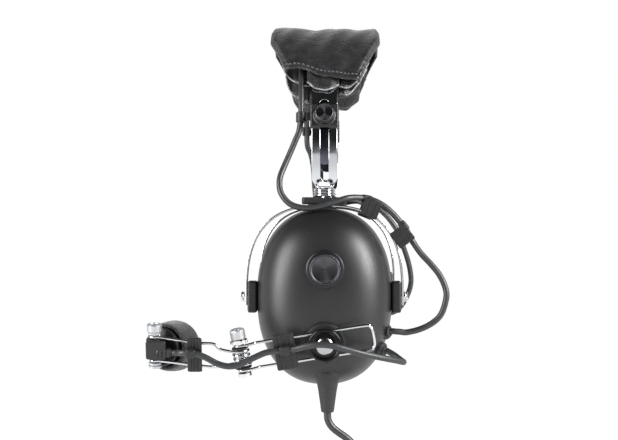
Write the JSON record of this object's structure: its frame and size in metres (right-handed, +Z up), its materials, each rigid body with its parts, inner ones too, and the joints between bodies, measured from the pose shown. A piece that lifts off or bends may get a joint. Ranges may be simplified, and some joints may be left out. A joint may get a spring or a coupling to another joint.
{
  "type": "radio headset",
  "caption": "Two-way radio headset with large ear cups in spring stirrups, a padded slotted headband, volume knobs, a jointed boom microphone and a coiled lead with a plug.",
  "frame": {"origin": "middle of the underside of the head pad, where it rests on the crown of the head", "axes": "+Z up, +X towards the wearer's back, -Y towards the left ear cup, which carries the boom"},
  "size_m": [0.1809, 0.2425, 0.3325],
  "materials": {
    "spring_steel": "bright nickel plated spring strap",
    "wire": "bright plated wire",
    "hardware": "bright plated nuts, bolts and washers",
    "light_metal": "knurled bright aluminium",
    "knob": "black knob with a spun face",
    "shell": "satin black moulding",
    "fittings": "black painted fittings",
    "leather": "fine grained black leather",
    "seal": "soft black vinyl",
    "foam": "fine black open cell foam",
    "cable": "smooth black jacket",
    "speaker": "pressed steel frame"
  },
  "bodies": {
    "headband": {"headband_spring": "spring_steel", "head_cushion": "leather", "head_pad_cover": "leather", "clamp_housing_left": "fittings", "clamp_housing_right": "fittings", "band_cable_clip_left": "fittings", "band_cable_clip_right": "fittings", "crossover_cable": "cable"},
    "clamp_screw_left": {"clamp_knob_left": "knob"},
    "clamp_screw_right": {"clamp_knob_right": "knob"},
    "arm_left": {"arm_left": "spring_steel", "swivel_bolt_left": "hardware"},
    "stirrup_left": {"stirrup_left": "spring_steel", "stirrup_saddle_left": "fittings", "stirrup_clip_upper_left": "fittings", "pivot_screw_front_left": "hardware", "pivot_screw_rear_left": "hardware", "stirrup_clip_lower_left": "fittings"},
    "cup_left": {"ear_dome_left": "shell", "ear_plate_left": "shell", "ear_seal_left": "seal", "speaker_left": "speaker", "volume_control_left": "speaker", "pivot_block_front_left": "fittings", "pivot_block_rear_left": "fittings", "crossover_grommet_left": "cable", "boom_mount": "fittings", "mic_cable_grommet": "cable", "lead_strain_relief": "cable", "lead": "cable", "lead_coil": "cable", "lead_plug": "fittings"},
    "volume_knob_left": {"volume_knob_left": "knob"},
    "arm_right": {"arm_right": "spring_steel", "swivel_bolt_right": "hardware"},
    "stirrup_right": {"stirrup_right": "spring_steel", "stirrup_saddle_right": "fittings", "stirrup_clip_upper_right": "fittings", "pivot_screw_front_right": "hardware", "pivot_screw_rear_right": "hardware"},
    "cup_right": {"ear_dome_right": "shell", "ear_plate_right": "shell", "ear_seal_right": "seal", "speaker_right": "speaker", "volume_control_right": "speaker", "pivot_block_front_right": "fittings", "pivot_block_rear_right": "fittings", "crossover_grommet_right": "cable"},
    "volume_knob_right": {"volume_knob_right": "knob"},
    "boom_rear": {"boom_wire_rear": "wire", "boom_clamp_plate": "fittings", "boom_clip_rear": "fittings", "elbow_bolt": "hardware", "mic_cable": "cable"},
    "elbow_nut": {"elbow_thumb_nut": "light_metal"},
    "boom_front": {"boom_wire_front": "wire", "boom_clip_front": "fittings"},
    "mic": {"mic_housing": "fittings", "mic_foam": "foam"},
    "mic_screw": {"mic_thumb_screw": "light_metal"}
  },
  "joints": [
    {"name": "height_left", "type": "hinge", "parent": "headband", "child": "arm_left", "pos_m": [0, 0, -0.054], "axis": [-1, 0, 0], "range_deg": [-5, 21], "deforming": ["crossover_cable"]},
    {"name": "swivel_left", "type": "hinge", "parent": "arm_left", "child": "stirrup_left", "pos_m": [0, -0.0795, -0.08235], "axis": [0, 0, 1], "range_deg": [-15, 15], "deforming": ["crossover_cable"]},
    {"name": "tilt_left", "type": "hinge", "parent": "stirrup_left", "child": "cup_left", "pos_m": [0, -0.0795, -0.14205], "axis": [1, 0, 0], "range_deg": [-12, 12], "deforming": ["crossover_cable"]},
    {"name": "volume_left", "type": "hinge", "parent": "cup_left", "child": "volume_knob_left", "pos_m": [0.0008, -0.0795, -0.12455], "axis": [0, -1, 0], "range_deg": [-150, 150]},
    {"name": "clamp_left", "type": "hinge", "parent": "headband", "child": "clamp_screw_left", "pos_m": [0, -0.07089, -0.0346], "axis": [0, -0.9646, 0.2639], "range_deg": [-180, 180]},
    {"name": "height_right", "type": "hinge", "parent": "headband", "child": "arm_right", "pos_m": [0, 0, -0.054], "axis": [1, 0, 0], "range_deg": [-5, 21], "deforming": ["crossover_cable"]},
    {"name": "swivel_right", "type": "hinge", "parent": "arm_right", "child": "stirrup_right", "pos_m": [0, 0.0795, -0.08235], "axis": [0, 0, 1], "range_deg": [-15, 15], "deforming": ["crossover_cable"]},
    {"name": "tilt_right", "type": "hinge", "parent": "stirrup_right", "child": "cup_right", "pos_m": [0, 0.0795, -0.14205], "axis": [1, 0, 0], "range_deg": [-12, 12], "deforming": ["crossover_cable"]},
    {"name": "volume_right", "type": "hinge", "parent": "cup_right", "child": "volume_knob_right", "pos_m": [0.0008, 0.0795, -0.12455], "axis": [0, 1, 0], "range_deg": [-150, 150]},
    {"name": "clamp_right", "type": "hinge", "parent": "headband", "child": "clamp_screw_right", "pos_m": [0, 0.07089, -0.0346], "axis": [0, 0.9646, 0.2639], "range_deg": [-180, 180]},
    {"name": "boom_swing", "type": "hinge", "parent": "cup_left", "child": "boom_rear", "pos_m": [0.0007, -0.1078, -0.16725], "axis": [0, 0.9781, 0.2079], "range_deg": [-45, 60], "deforming": ["mic_cable"]},
    {"name": "boom_elbow", "type": "hinge", "parent": "boom_rear", "child": "boom_front", "pos_m": [-0.04766, -0.11026, -0.17587], "axis": [-0.1616, -0.2052, 0.9653], "range_deg": [-60, 60], "deforming": ["mic_cable"]},
    {"name": "elbow_nut_turn", "type": "hinge", "parent": "boom_rear", "child": "elbow_nut", "pos_m": [-0.04766, -0.11026, -0.17587], "axis": [-0.1616, -0.2052, 0.9653], "range_deg": [-180, 180]},
    {"name": "mic_swivel", "type": "hinge", "parent": "boom_front", "child": "mic", "pos_m": [-0.0982, -0.11141, -0.17047], "axis": [0, -0.2079, 0.9781], "range_deg": [-10, 60], "deforming": ["mic_cable"]},
    {"name": "mic_screw_turn", "type": "hinge", "parent": "boom_front", "child": "mic_screw", "pos_m": [-0.0982, -0.11141, -0.17047], "axis": [0, -0.2079, 0.9781], "range_deg": [-180, 180]}
  ]
}
